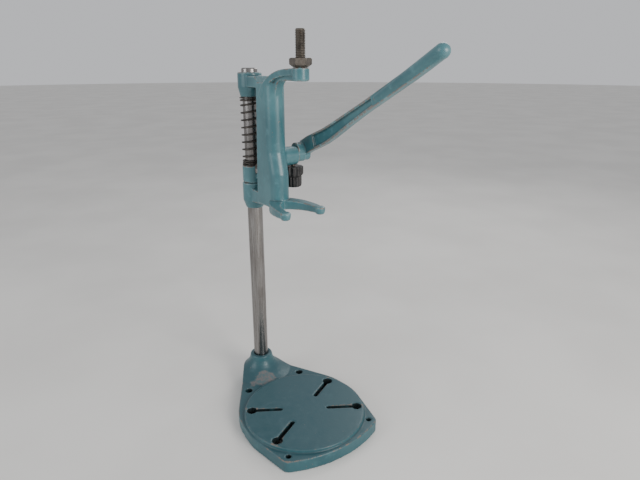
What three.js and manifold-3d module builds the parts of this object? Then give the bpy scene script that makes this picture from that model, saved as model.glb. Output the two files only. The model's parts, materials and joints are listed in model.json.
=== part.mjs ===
// A bench stand that turns a hand-held power drill into a small drilling machine.
// Millimetres, +Z up. The origin lies under the middle of the round table, on the ground plane.
// The drill's axis is the Z axis, the column stands behind it (+Y) and the operator is at -Y.
import * as THREE from "three";
import { mergeVertices } from "three/addons/utils/BufferGeometryUtils.js";
import Module from "manifold-3d";

const wasm = await Module();
wasm.setup();

// ---------------------------------------------------------------- driving dimensions
const GAP = 0.3; // clearance between touching pieces

const TABLE_RADIUS = 98;
const TABLE_TOP = 25;
const FLANGE_TOP = 19.5;
const BASE_FRONT_Y = -103.5;
const BASE_CORNER = { x: 74.5, y: -75, radius: 12 };
const BASE_WAIST = { x: 0, y: 0, radius: 101 };
const BASE_SHOULDER = { x: 0, y: 18, radius: 100 };
const BASE_APEX = { x: 0, y: 149.5, radius: 34 };
const SKIRT_WALL = 8;
const PLATE_UNDERSIDE = 13;
const SLOT_ANGLES_DEG = [60.4, 119.6, 240.4, 299.6]; // from +Y towards +X
const SLOT = { innerRadius: 36, headRadius: 86, halfWidth: 3.25, headHalfWidth: 8 };
const BACK_HOLES = { x: 51.5, y: 101.5, radius: 6 };

const COLUMN_Y = 151.4;
const COLUMN_RADIUS = 12.5;
const COLUMN_FOOT = 6;
const COLUMN_TOP = 554.5;
const FOOT_BOSS = { top: 54.4, topRadius: 19.5, spread: 56 };
const SET_SCREW_Z = 38;

const RING = { bottom: 377, top: 404.5, radius: 17.6 };
const LINK_PIN = { y: 118, z: 401, radius: 4 };

const UPPER_COLLAR = { bottom: 511, top: 548, radius: 18.8 };
const LOWER_COLLAR = { bottom: 334, top: 376.4, radius: 18.6 };
const WEB = { half: 15, wall: 4, noseY: 75, lowNoseY: 67, bottom: 352, top: 535 };
const NECK_UNDERSIDE = 539;
const STUD_BOSS = { radius: 11.5, top: 556.5 };
const FORK_TIP = { x: 29, y: -2.5, z: 356, radius: 7.5 };

const SHAFT = { y: 81.7, z: 426, radius: 8, inner: -10.4, endRadius: 6, outer: 60 };
const SHAFT_BOSS = { rootRadius: 15.1, endRadius: 14, end: 38.7 };
const FEED_REST_DEG = -34.55; // crank direction at rest, below horizontal and towards the column

const LEVER_HUB_X = 39.2;
const LEVER_INNER_X = 52;
const LEVER_THICKNESS = 10;
const GRIP_RADIUS = 8.8;

const LOCK_SCREW = { x: 34.6, y: SHAFT.y, radius: 3 };
const STUD = { radius: 7, bottom: 540, top: 604 };
const STUD_NUT = { bottom: 556.8, top: 568.5, acrossFlats: 26 };

// ---------------------------------------------------------------- finishes
const teal = () => new THREE.MeshStandardMaterial({ color: 0x46707c, roughness: 0.45, metalness: 0.1 });
const brightSteel = () => new THREE.MeshStandardMaterial({ color: 0x9a9894, roughness: 0.35, metalness: 1 });
const darkSteel = () => new THREE.MeshStandardMaterial({ color: 0x4d4440, roughness: 0.5, metalness: 0.9 });
const blackPlastic = () => new THREE.MeshStandardMaterial({ color: 0x1d1a19, roughness: 0.5, metalness: 0 });

// ---------------------------------------------------------------- solids
function solid(geometry) {
  const bare = geometry.index ? geometry.toNonIndexed() : geometry.clone();
  bare.deleteAttribute("normal");
  bare.deleteAttribute("uv");
  const merged = mergeVertices(bare, 1e-4);
  return new wasm.Manifold(
    new wasm.Mesh({
      numProp: 3,
      vertProperties: merged.attributes.position.array,
      triVerts: new Uint32Array(merged.index.array),
    }),
  );
}

function toGeometry(manifold) {
  const mesh = manifold.getMesh();
  const geometry = new THREE.BufferGeometry();
  geometry.setAttribute("position", new THREE.BufferAttribute(mesh.vertProperties, 3));
  geometry.setIndex(new THREE.BufferAttribute(mesh.triVerts, 1));
  geometry.computeVertexNormals();
  return geometry;
}

const join = (first, ...rest) => rest.reduce((sum, item) => sum.add(item), first);
const cut = (first, ...rest) => rest.reduce((left, item) => left.subtract(item), first);

// A plan outline (x, y) raised from z0 to z1; shearY moves the top along Y.
function raised(shape, z0, z1, shearY = 0) {
  const geometry = new THREE.ExtrudeGeometry(shape, { depth: z1 - z0, bevelEnabled: false, curveSegments: 8 });
  const shear = new THREE.Matrix4().makeShear(0, 0, 0, 0, 0, shearY / (z1 - z0));
  geometry.applyMatrix4(shear);
  geometry.translate(0, 0, z0);
  return solid(geometry);
}

// A side outline, drawn as (y, z), spread from x0 to x1.
function spread(shape, x0, x1) {
  const geometry = new THREE.ExtrudeGeometry(shape, { depth: x1 - x0, bevelEnabled: false, curveSegments: 8 });
  const axes = new THREE.Matrix4().makeBasis(
    new THREE.Vector3(0, 1, 0),
    new THREE.Vector3(0, 0, 1),
    new THREE.Vector3(1, 0, 0),
  );
  geometry.applyMatrix4(axes);
  geometry.translate(x0, 0, 0);
  return solid(geometry);
}

// A frustum or cylinder between two points.
function rod(from, to, radius, endRadius = radius, sides = 22) {
  const start = new THREE.Vector3(...from);
  const end = new THREE.Vector3(...to);
  const axis = end.clone().sub(start);
  const geometry = new THREE.CylinderGeometry(endRadius, radius, axis.length(), sides);
  geometry.translate(0, axis.length() / 2, 0);
  const turn = new THREE.Quaternion().setFromUnitVectors(new THREE.Vector3(0, 1, 0), axis.normalize());
  geometry.applyQuaternion(turn);
  geometry.translate(start.x, start.y, start.z);
  return solid(geometry);
}

const upright = (x, y, radius, z0, z1, sides) => rod([x, y, z0], [x, y, z1], radius, radius, sides);
const crosswise = (y, z, radius, x0, x1, sides) => rod([x0, y, z], [x1, y, z], radius, radius, sides);
const hexRadius = (acrossFlats) => acrossFlats / Math.sqrt(3);

function box(x0, x1, y0, y1, z0, z1) {
  const geometry = new THREE.BoxGeometry(x1 - x0, y1 - y0, z1 - z0);
  geometry.translate((x0 + x1) / 2, (y0 + y1) / 2, (z0 + z1) / 2);
  return solid(geometry);
}

// A turned shape about a vertical axis. The profile holds [radius, height] pairs, upwards on the outside.
function turned(profile, x, y, segments = 28) {
  const points = profile.map(([radius, height]) => new THREE.Vector2(radius, height));
  const geometry = new THREE.LatheGeometry(points, segments);
  geometry.rotateX(Math.PI / 2);
  geometry.translate(x, y, 0);
  return solid(geometry);
}

// ---------------------------------------------------------------- base
// Outward direction of the line that touches two circles, going round anticlockwise from a to b.
function tangentAngle(a, b) {
  const distance = Math.hypot(b.x - a.x, b.y - a.y);
  const cosine = Math.min(1, Math.max(-1, (a.radius - b.radius) / distance));
  return Math.atan2(b.y - a.y, b.x - a.x) - Math.acos(cosine);
}

// The base's outline: a rounded triangle made of circles and the lines that touch them.
function baseOutline(inset = 0) {
  const { x, y, radius } = BASE_CORNER;
  const reach = BASE_FRONT_Y + radius;
  const frontY = (reach ** 2 - x ** 2 - y ** 2) / (2 * (reach - y));
  const left = { x: -x, y, radius };
  const front = { x: 0, y: frontY, radius: frontY - BASE_FRONT_Y };
  const right = { x, y, radius };
  const ring = [front, right, BASE_WAIST, BASE_SHOULDER, BASE_APEX, BASE_SHOULDER, BASE_WAIST, left];
  const shape = new THREE.Shape();
  ring.forEach((circle, i) => {
    const before = ring[(i + ring.length - 1) % ring.length];
    const after = ring[(i + 1) % ring.length];
    const start = tangentAngle(before, circle);
    const end = tangentAngle(circle, after);
    shape.absarc(circle.x, circle.y, circle.radius - inset, start, end, false);
  });
  return shape;
}

// A keyhole slot: a narrow slot that runs outwards to a round head.
function keyhole(angleDeg) {
  const { innerRadius, headRadius, halfWidth, headHalfWidth } = SLOT;
  const neck = Math.asin(halfWidth / headHalfWidth);
  const shape = new THREE.Shape();
  shape.absarc(0, innerRadius + halfWidth, halfWidth, Math.PI, 2 * Math.PI, false);
  shape.absarc(0, headRadius, headHalfWidth, neck - Math.PI / 2, 1.5 * Math.PI - neck, false);
  const geometry = new THREE.ExtrudeGeometry(shape, { depth: TABLE_TOP + 2, bevelEnabled: false, curveSegments: 8 });
  geometry.translate(0, 0, -1);
  geometry.rotateZ(-THREE.MathUtils.degToRad(angleDeg));
  return solid(geometry);
}

function footBoss() {
  const { top, topRadius, spread: reach } = FOOT_BOSS;
  const flare = new THREE.CubicBezierCurve(
    new THREE.Vector2(reach, FLANGE_TOP - 1),
    new THREE.Vector2(topRadius + 16, FLANGE_TOP + 5),
    new THREE.Vector2(topRadius + 1, FLANGE_TOP + 16),
    new THREE.Vector2(topRadius, top - 1.5),
  );
  const curve = flare.getPoints(7).map((point) => [point.x, point.y]);
  return turned([[0, 2], [reach, 2], ...curve, [topRadius - 1.5, top], [0, top]], 0, COLUMN_Y, 36);
}

function baseCasting() {
  const outline = baseOutline();
  const wall = SKIRT_WALL;
  const flange = raised(outline, 0, FLANGE_TOP);
  const boss = footBoss().intersect(raised(outline, 0, FOOT_BOSS.top + 1));
  const table = turned(
    [[0, 10], [TABLE_RADIUS, 10], [TABLE_RADIUS, TABLE_TOP - 1.2], [TABLE_RADIUS - 1.2, TABLE_TOP], [0, TABLE_TOP]],
    0,
    0,
    64,
  );
  const holes = [
    [BACK_HOLES.x, BACK_HOLES.y, BACK_HOLES.radius],
    [-BACK_HOLES.x, BACK_HOLES.y, BACK_HOLES.radius],
    [BASE_CORNER.x, BASE_CORNER.y, 4],
    [-BASE_CORNER.x, BASE_CORNER.y, 4],
  ];
  const kept = [
    upright(0, 0, 14, 0, PLATE_UNDERSIDE + 1),
    upright(0, COLUMN_Y, 21, 0, PLATE_UNDERSIDE + 1),
    box(-3, 3, -110, COLUMN_Y, 0, PLATE_UNDERSIDE + 1),
    box(-105, 105, -3, 3, 0, PLATE_UNDERSIDE + 1),
    ...holes.map(([x, y, radius]) => upright(x, y, radius + 4.5, 0, PLATE_UNDERSIDE + 1)),
  ];
  const hollow = cut(raised(baseOutline(wall), -1, PLATE_UNDERSIDE), ...kept);
  return cut(
    join(flange, boss, table),
    hollow,
    upright(0, COLUMN_Y, COLUMN_RADIUS + GAP, COLUMN_FOOT, FOOT_BOSS.top + 1, 36),
    rod([0, COLUMN_Y, SET_SCREW_Z], [0, COLUMN_Y + 60, SET_SCREW_Z], 4 + GAP),
    rod([0, COLUMN_Y + 22.5, SET_SCREW_Z], [0, COLUMN_Y + 60, SET_SCREW_Z], 9),
    ...SLOT_ANGLES_DEG.map(keyhole),
    ...holes.map(([x, y, radius]) => upright(x, y, radius, -1, TABLE_TOP + 1)),
  );
}

function column() {
  const top = COLUMN_TOP;
  const foot = COLUMN_FOOT + GAP;
  const r = COLUMN_RADIUS;
  return turned([[0, foot], [r - 1, foot], [r, foot + 1], [r, top - 1.5], [r - 1.5, top], [0, top]], 0, COLUMN_Y, 36);
}

function columnSetScrew() {
  const shankStart = COLUMN_Y + COLUMN_RADIUS + GAP;
  const headStart = COLUMN_Y + 22.5 + GAP;
  const shank = rod([0, shankStart, SET_SCREW_Z], [0, headStart + 1, SET_SCREW_Z], 4);
  const head = rod([0, headStart, SET_SCREW_Z], [0, headStart + 5.5, SET_SCREW_Z], hexRadius(13), hexRadius(13), 6);
  return shank.add(head);
}

// ---------------------------------------------------------------- clamp ring on the column
function collar(bottom, top, radius, throatRadius, throatHeight) {
  const bore = COLUMN_RADIUS + GAP;
  return turned(
    [[bore, bottom], [throatRadius, bottom], [radius, bottom + throatHeight], [radius, top - 1.2],
      [radius - 1.2, top], [bore, top], [bore, bottom]],
    0,
    COLUMN_Y,
    36,
  );
}

const RING_MID = (RING.bottom + RING.top) / 2;
const CLAMP_BOLT_X = 27;
const CLAMP_LUG_HALF = 12;

function clampRing() {
  const body = collar(RING.bottom, RING.top, RING.radius, RING.radius - 1.2, 1.2);
  const lugs = spread(lugOutline(), 0, CLAMP_BOLT_X + 9);
  const tongue = spread(tongueOutline(), -4, 4);
  return cut(
    join(body, lugs, tongue),
    upright(0, COLUMN_Y, COLUMN_RADIUS + GAP, RING.bottom - 1, RING.top + 1, 36),
    box(5, CLAMP_BOLT_X + 10, COLUMN_Y - 1.5, COLUMN_Y + 1.5, RING.bottom - 1, RING.top + 1),
    rod([CLAMP_BOLT_X, COLUMN_Y - 20, RING_MID], [CLAMP_BOLT_X, COLUMN_Y + 20, RING_MID], 4 + GAP),
    crosswise(LINK_PIN.y, LINK_PIN.z, LINK_PIN.radius + GAP, -6, 6),
  );
}

// The pair of lugs that the clamp bolt draws together.
function lugOutline() {
  const shape = new THREE.Shape();
  shape.moveTo(COLUMN_Y - CLAMP_LUG_HALF, RING.bottom + 3);
  shape.lineTo(COLUMN_Y + CLAMP_LUG_HALF, RING.bottom + 3);
  shape.lineTo(COLUMN_Y + CLAMP_LUG_HALF, RING.top - 3);
  shape.lineTo(COLUMN_Y - CLAMP_LUG_HALF, RING.top - 3);
  return shape;
}

// The tongue that reaches into the carriage and holds the link pin.
function tongueOutline() {
  const shape = new THREE.Shape();
  shape.moveTo(COLUMN_Y - 15, RING.bottom + 6);
  shape.lineTo(COLUMN_Y - 15, RING.top - 1);
  shape.lineTo(LINK_PIN.y, LINK_PIN.z + 7.5);
  shape.absarc(LINK_PIN.y, LINK_PIN.z, 7.5, Math.PI / 2, 1.5 * Math.PI, false);
  return shape;
}

const linkPin = () => crosswise(LINK_PIN.y, LINK_PIN.z, LINK_PIN.radius, -12, 12, 20);

function linkPinClip(side) {
  const near = side * 10;
  const far = side * 11;
  const disc = crosswise(LINK_PIN.y, LINK_PIN.z, 6.5, Math.min(near, far), Math.max(near, far), 24);
  const bore = crosswise(LINK_PIN.y, LINK_PIN.z, LINK_PIN.radius + GAP, -13, 13, 20);
  const mouth = box(-13, 13, LINK_PIN.y - 2, LINK_PIN.y + 2, LINK_PIN.z - 8, LINK_PIN.z);
  return cut(disc, bore, mouth);
}

function clampBolt() {
  const y0 = COLUMN_Y - CLAMP_LUG_HALF - GAP;
  const head = rod([CLAMP_BOLT_X, y0 - 5.5, RING_MID], [CLAMP_BOLT_X, y0, RING_MID], hexRadius(13), hexRadius(13), 6);
  return head.add(rod([CLAMP_BOLT_X, y0 - 1, RING_MID], [CLAMP_BOLT_X, COLUMN_Y + 24, RING_MID], 4, 4, 20));
}

function ringAround(y0, y1, radius, sides) {
  const body = rod([CLAMP_BOLT_X, y0, RING_MID], [CLAMP_BOLT_X, y1, RING_MID], radius, radius, sides);
  return body.subtract(rod([CLAMP_BOLT_X, y0 - 1, RING_MID], [CLAMP_BOLT_X, y1 + 1, RING_MID], 4 + GAP));
}

const CLAMP_WASHER_Y = COLUMN_Y + CLAMP_LUG_HALF + GAP;
const clampWasher = () => ringAround(CLAMP_WASHER_Y, CLAMP_WASHER_Y + 1.6, 8, 28);
const clampNut = () => ringAround(CLAMP_WASHER_Y + 1.9, CLAMP_WASHER_Y + 8.4, hexRadius(13), 6);

// ---------------------------------------------------------------- carriage
// Plan of the channel: round nose to the front, open to the back.
function channelPlan(half, noseY, backY) {
  const shape = new THREE.Shape();
  shape.moveTo(half, backY);
  shape.lineTo(-half, backY);
  shape.lineTo(-half, noseY);
  shape.absarc(0, noseY, half, Math.PI, 2 * Math.PI, false);
  return shape;
}

// The channel is straight above and steps forward below the shaft boss.
function channel(half, bottom, top) {
  const stepTop = 436;
  const stepBottom = 404;
  const { noseY, lowNoseY } = WEB;
  return join(
    raised(channelPlan(half, noseY, 118), stepTop, top),
    raised(channelPlan(half, lowNoseY, 118 - noseY + lowNoseY), stepBottom, stepTop, noseY - lowNoseY),
    raised(channelPlan(half, lowNoseY, 118), bottom, stepBottom),
  );
}

function web() {
  const { half, wall, bottom, top } = WEB;
  const shell = channel(half, bottom, top).subtract(channel(half - wall, bottom + 18, top - 8));
  const back = new THREE.Shape();
  back.moveTo(101, top + 20);
  back.lineTo(112, bottom - 20);
  back.lineTo(140, bottom - 20);
  back.lineTo(140, top + 20);
  return shell.subtract(spread(back, -20, 20));
}

// The neck's ridge, as (y, z): level behind the boss, then bending down into the web.
const NECK_RIDGE = new THREE.CatmullRomCurve3(
  [[4, 551], [31, 549.6], [46, 547.4], [59, 543.2], [71, 536.5], [82, 527], [90, 515]].map(
    ([y, z]) => new THREE.Vector3(0, y, z),
  ),
);

// A band of even thickness along the ridge.
function ridgeBand(half) {
  const upper = [];
  const lower = [];
  for (let i = 0; i <= 14; i += 1) {
    const point = NECK_RIDGE.getPointAt(i / 14);
    const along = NECK_RIDGE.getTangentAt(i / 14);
    upper.push(new THREE.Vector2(point.y - along.z * half, point.z + along.y * half));
    lower.push(new THREE.Vector2(point.y + along.z * half, point.z - along.y * half));
  }
  return new THREE.Shape([...upper, ...lower.reverse()]);
}

// The neck curves forward from the top of the web to the boss: a thin stem under a wider band.
function neck() {
  const stem = new THREE.Shape();
  stem.moveTo(0, NECK_UNDERSIDE);
  stem.lineTo(42, NECK_UNDERSIDE);
  stem.quadraticCurveTo(58, NECK_UNDERSIDE, 61, WEB.top - 22);
  stem.lineTo(86, WEB.top - 22);
  stem.lineTo(66, 538);
  stem.lineTo(40, 547);
  stem.lineTo(0, 549);
  const plan = new THREE.Shape();
  plan.moveTo(-9, 0);
  plan.lineTo(9, 0);
  plan.quadraticCurveTo(8.5, 48, 15.8, 78);
  plan.lineTo(15.8, 104);
  plan.lineTo(-15.8, 104);
  plan.lineTo(-15.8, 78);
  plan.quadraticCurveTo(-8.5, 48, -9, 0);
  return spread(stem, -6.5, 6.5).add(spread(ridgeBand(4.6), -18, 18).intersect(raised(plan, 500, 560)));
}

function studBoss() {
  const { radius, top } = STUD_BOSS;
  return turned(
    [[0, NECK_UNDERSIDE], [radius - 1.5, NECK_UNDERSIDE], [radius, NECK_UNDERSIDE + 1.5],
      [radius, top - 1], [radius - 1, top], [0, top]],
    0,
    0,
    32,
  );
}

// One prong of the fork, from the foot of the web to the tip beside the drill's axis.
function prong(side) {
  const { x, y, z, radius } = FORK_TIP;
  const plan = new THREE.Shape();
  plan.moveTo(side * -2, 72);
  plan.lineTo(side * -2, 54);
  plan.quadraticCurveTo(side * 22, 40, side * (x - 5.5), y + 2);
  plan.lineTo(side * (x + 5.5), y);
  plan.quadraticCurveTo(side * 36, 46, side * 13, 72);
  const profile = new THREE.Shape();
  profile.moveTo(-12, z - 1);
  profile.lineTo(76, z - 6.5);
  profile.lineTo(76, z + 8.5);
  profile.quadraticCurveTo(20, z + 9.5, -12, z + 6.5);
  const arm = raised(plan, z - 10, z + 20).intersect(spread(profile, -60, 60));
  const tip = turned(
    [[0, z - 2.6], [radius - 1.5, z - 2.6], [radius - 0.6, z], [radius, z + 3], [radius, z + 7],
      [radius - 2, z + 8.6], [0, z + 8.8]],
    side * x,
    y,
    24,
  );
  return arm.add(tip);
}

// A bridge between a collar (rear heights) and the back of the web (front heights).
function bridge(rearLow, rearHigh, frontLow, frontHigh) {
  const side = new THREE.Shape();
  side.moveTo(94, frontLow);
  side.lineTo(COLUMN_Y - 8, rearLow);
  side.lineTo(COLUMN_Y - 8, rearHigh);
  side.lineTo(112, rearHigh);
  side.lineTo(94, frontHigh);
  return spread(side, -12.4, 12.4);
}

function shaftBoss() {
  const { rootRadius, endRadius, end } = SHAFT_BOSS;
  return rod([WEB.half - 3, SHAFT.y, SHAFT.z], [end, SHAFT.y, SHAFT.z], rootRadius, endRadius, 40);
}

function carriageCasting() {
  const upper = collar(UPPER_COLLAR.bottom, UPPER_COLLAR.top, UPPER_COLLAR.radius, 15, 15);
  const lower = collar(LOWER_COLLAR.bottom, LOWER_COLLAR.top, LOWER_COLLAR.radius, 14.2, 13);
  return cut(
    join(
      web(),
      upper,
      lower,
      bridge(527, 543, 527, 533),
      bridge(346, 368, 350, 372),
      neck(),
      studBoss(),
      prong(1),
      prong(-1),
      shaftBoss(),
    ),
    upright(0, COLUMN_Y, COLUMN_RADIUS + GAP, LOWER_COLLAR.bottom - 1, UPPER_COLLAR.top + 1, 36),
    upright(0, 0, STUD.radius + GAP, NECK_UNDERSIDE - 1, STUD_BOSS.top + 1),
    crosswise(SHAFT.y, SHAFT.z, SHAFT.radius + GAP, WEB.half - WEB.wall - 1, SHAFT_BOSS.end + 1, 32),
    upright(LOCK_SCREW.x, LOCK_SCREW.y, LOCK_SCREW.radius + GAP, SHAFT.z - 20, SHAFT.z),
  );
}

// ---------------------------------------------------------------- clamp stud
function clampStud() {
  const { radius, bottom, top } = STUD;
  return turned([[0, bottom], [radius - 1, bottom], [radius, bottom + 1], [radius, top - 2], [radius - 2, top], [0, top]], 0, 0);
}

function hexNut({ bottom, top, acrossFlats }) {
  const corner = hexRadius(acrossFlats);
  const prism = new THREE.CylinderGeometry(corner, corner, top - bottom, 6);
  prism.rotateX(Math.PI / 2);
  prism.translate(0, 0, (top + bottom) / 2);
  const chamfer = turned(
    [[0, bottom], [corner - 5, bottom], [corner, bottom + 3.6], [corner, top - 1.2], [corner - 2.2, top], [0, top]],
    0,
    0,
    36,
  );
  return solid(prism).intersect(chamfer).subtract(upright(0, 0, STUD.radius + GAP, bottom - 1, top + 1));
}

// ---------------------------------------------------------------- return spring
const SPRING = {
  seat: RING.top + GAP,
  washer: 1.4,
  meanRadius: 15.4,
  wireRadius: 1.4,
  lowTurns: 1.6, // coils that lie together at the lower end
  openTurns: 8.02,
  highTurns: 0.8,
  closedPitch: 3.1,
  startAngle: 2.47,
};

function springWasher(bottom) {
  const inner = COLUMN_RADIUS + GAP;
  const outer = 17.2;
  return turned(
    [[inner, bottom], [outer, bottom], [outer, bottom + SPRING.washer], [inner, bottom + SPRING.washer], [inner, bottom]],
    0,
    COLUMN_Y,
    36,
  );
}

// A compression spring with closed ends on a vertical axis.
class SpringLine extends THREE.Curve {
  getPoint(t, target = new THREE.Vector3()) {
    const { meanRadius, wireRadius, seat, washer, closedPitch, lowTurns, openTurns, highTurns, startAngle } = SPRING;
    const low = seat + washer + GAP + wireRadius;
    const high = UPPER_COLLAR.bottom - GAP - washer - GAP - wireRadius;
    const turn = t * (lowTurns + openTurns + highTurns);
    const openShare = THREE.MathUtils.clamp((turn - lowTurns) / openTurns, 0, 1);
    const closedTurns = turn - openShare * openTurns;
    const openHeight = high - low - (lowTurns + highTurns) * closedPitch;
    const angle = startAngle + turn * 2 * Math.PI;
    return target.set(
      meanRadius * Math.cos(angle),
      COLUMN_Y + meanRadius * Math.sin(angle),
      low + closedTurns * closedPitch + openShare * openHeight,
    );
  }
}

function returnSpring() {
  const { wireRadius, lowTurns, openTurns, highTurns } = SPRING;
  const section = new THREE.Shape();
  section.absarc(0, 0, wireRadius, 0, 2 * Math.PI, false);
  return solid(
    new THREE.ExtrudeGeometry(section, {
      steps: Math.round((lowTurns + openTurns + highTurns) * 12),
      extrudePath: new SpringLine(),
      curveSegments: 3,
      bevelEnabled: false,
    }),
  );
}

// ---------------------------------------------------------------- lever, shaft and crank
// The lever's centre line in its own plane: shallow by the shaft, then steeper up to the grip.
const LEVER_LINE = new THREE.CatmullRomCurve3(
  [[86, 435], [66, 444.5], [23, 461.3], [-42, 494.8], [-112, 530.6], [-158, 554.2], [-194.5, 574.8]].map(
    ([y, z]) => new THREE.Vector3(0, y, z),
  ),
);

// Half the blade's depth along the lever: it thins from the shaft towards the grip.
const bladeHalfDepth = (t) => THREE.MathUtils.lerp(12, 7.4, THREE.MathUtils.smoothstep(t, 0.1, 0.62));

function leverBand(from, to, trim) {
  const stations = 14;
  const upper = [];
  const lower = [];
  for (let i = 0; i <= stations; i += 1) {
    const t = THREE.MathUtils.lerp(from, to, i / stations);
    const point = LEVER_LINE.getPointAt(t);
    const along = LEVER_LINE.getTangentAt(t);
    const half = bladeHalfDepth(t) - trim;
    upper.push(new THREE.Vector2(point.y + along.z * half, point.z - along.y * half));
    lower.push(new THREE.Vector2(point.y - along.z * half, point.z + along.y * half));
  }
  return new THREE.Shape([...upper, ...lower.reverse()]);
}

// The grip: round, swelling a little towards its domed end.
function leverGrip() {
  const x = LEVER_INNER_X + LEVER_THICKNESS / 2;
  const start = LEVER_LINE.getPointAt(0.62);
  const end = LEVER_LINE.getPointAt(1);
  const dome = new THREE.SphereGeometry(GRIP_RADIUS, 20, 12);
  dome.translate(x, end.y, end.z);
  const taper = rod([x, start.y, start.z], [x, end.y, end.z], GRIP_RADIUS - 2.2, GRIP_RADIUS, 20);
  return taper.add(solid(dome));
}

function leverArm() {
  const inner = LEVER_INNER_X;
  const outer = inner + LEVER_THICKNESS;
  const pocket = leverBand(0.12, 0.6, 3.4);
  return cut(
    join(
      spread(leverBand(0, 0.98, 0), inner, outer),
      crosswise(SHAFT.y, SHAFT.z, 10.2, LEVER_HUB_X, inner, 28),
      crosswise(SHAFT.y, SHAFT.z, 9, inner - 1, outer, 28),
      crosswise(84.5, 432.5, 12.5, LEVER_HUB_X, outer, 32),
      leverGrip(),
    ),
    spread(pocket, inner - 10, inner + 3),
    spread(pocket, outer - 3, outer + 10),
    crosswise(SHAFT.y, SHAFT.z, SHAFT.endRadius + GAP, LEVER_HUB_X - 1, outer + 1, 28),
    leverPinRod(2 + GAP, 30),
  );
}

// The cross pin that holds the lever on its shaft stands upright through the hub.
const LEVER_PIN_X = 45.5;
const CRANK_PIN_X = 0;
const leverPinRod = (radius, reach) => upright(LEVER_PIN_X, SHAFT.y, radius, SHAFT.z - 9.6, SHAFT.z + reach, 14);
const crankPinRod = (radius, reach) => upright(CRANK_PIN_X, SHAFT.y, radius, SHAFT.z - reach, SHAFT.z + reach, 14);
const leverRollPin = () => leverPinRod(2, 18);
const crankRollPin = () => crankPinRod(2.5, 12);

function leverShaft() {
  const { y, z, radius, inner, endRadius, outer } = SHAFT;
  return cut(
    join(
      crosswise(y, z, radius, inner, SHAFT_BOSS.end, 28),
      crosswise(y, z, endRadius, SHAFT_BOSS.end - 1, outer, 28),
    ),
    leverPinRod(2 + GAP, 30),
    crankPinRod(2.5 + GAP, 20),
  );
}

// The crank's forked arms straddle the ring's tongue and pull against the link pin.
function feedCrank() {
  const length = 50;
  const shape = new THREE.Shape();
  shape.moveTo(0, -9);
  shape.lineTo(length - 3, -10.4);
  shape.lineTo(length, -8);
  shape.lineTo(length, -5.9);
  shape.lineTo(36, -5.9);
  shape.absarc(35.5, 0, 5.9, -Math.PI / 2, Math.PI / 2, true);
  shape.lineTo(length, 5.9);
  shape.lineTo(length, 8);
  shape.lineTo(length - 3, 10.4);
  shape.lineTo(0, 9);
  const turn = THREE.MathUtils.degToRad(FEED_REST_DEG);
  const place = (points) =>
    new THREE.Shape(
      points.map(
        ({ x, y }) =>
          new THREE.Vector2(
            SHAFT.y + x * Math.cos(turn) - y * Math.sin(turn),
            SHAFT.z + x * Math.sin(turn) + y * Math.cos(turn),
          ),
      ),
    );
  const between = new THREE.Shape();
  between.moveTo(14.5, -14);
  between.lineTo(length + 5, -14);
  between.lineTo(length + 5, 14);
  between.lineTo(14.5, 14);
  return cut(
    join(spread(place(shape.getPoints(8)), -9.4, 9.4), crosswise(SHAFT.y, SHAFT.z, 12.5, -9.4, 9.4, 32)),
    spread(place(between.getPoints()), -4.7, 4.7),
    crosswise(SHAFT.y, SHAFT.z, SHAFT.radius + GAP, -12, 12, 32),
    crankPinRod(2.5 + GAP, 20),
  );
}

// ---------------------------------------------------------------- feed lock
// A round outline with evenly spaced ribs.
function ribbedOutline(radius, depth, ribs) {
  const perRib = 4;
  const points = [];
  for (let i = 0; i < ribs * perRib; i += 1) {
    const angle = (i / (ribs * perRib)) * 2 * Math.PI;
    const r = radius - depth / 2 + (depth / 2) * Math.cos(ribs * angle);
    points.push(new THREE.Vector2(LOCK_SCREW.x + r * Math.cos(angle), LOCK_SCREW.y + r * Math.sin(angle)));
  }
  return new THREE.Shape(points);
}

const LOCK_TOP = 409.8;
const LOCK_SPLIT = 394;
const LOCK_BOTTOM = 377.6;
const lockBore = (z0, z1) => upright(LOCK_SCREW.x, LOCK_SCREW.y, LOCK_SCREW.radius + GAP, z0, z1, 20);

function lockWheel() {
  const { x, y } = LOCK_SCREW;
  const rim = raised(ribbedOutline(15.8, 1.8, 12), LOCK_SPLIT + GAP, LOCK_TOP);
  const rounding = turned(
    [[0, LOCK_SPLIT], [12, LOCK_SPLIT], [16, LOCK_SPLIT + 4.5], [16, LOCK_TOP - 2], [14, LOCK_TOP], [0, LOCK_TOP]],
    x,
    y,
    24,
  );
  return cut(rim.intersect(rounding), lockBore(LOCK_SPLIT - 1, LOCK_TOP + 1));
}

function lockKnob() {
  const { x, y } = LOCK_SCREW;
  const rim = raised(ribbedOutline(13.2, 1.8, 15), LOCK_BOTTOM, LOCK_SPLIT);
  const rounding = turned(
    [[0, LOCK_BOTTOM], [10.5, LOCK_BOTTOM], [13, LOCK_BOTTOM + 3], [13.4, LOCK_SPLIT], [0, LOCK_SPLIT]],
    x,
    y,
    24,
  );
  return cut(rim.intersect(rounding), lockBore(LOCK_BOTTOM + 3, LOCK_SPLIT + 1));
}

const lockScrew = () =>
  upright(LOCK_SCREW.x, LOCK_SCREW.y, LOCK_SCREW.radius, LOCK_BOTTOM + 3 + GAP, SHAFT.z - SHAFT.radius - GAP, 20);

// ---------------------------------------------------------------- assembly
const group = new THREE.Group();

function add(parent, name, manifold, material) {
  const mesh = new THREE.Mesh(toGeometry(manifold), material);
  mesh.name = name;
  parent.add(mesh);
}

const base = new THREE.Group();
add(base, "base_casting", baseCasting(), teal());
add(base, "column_set_screw", columnSetScrew(), darkSteel());
add(base, "column", column(), brightSteel());

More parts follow.
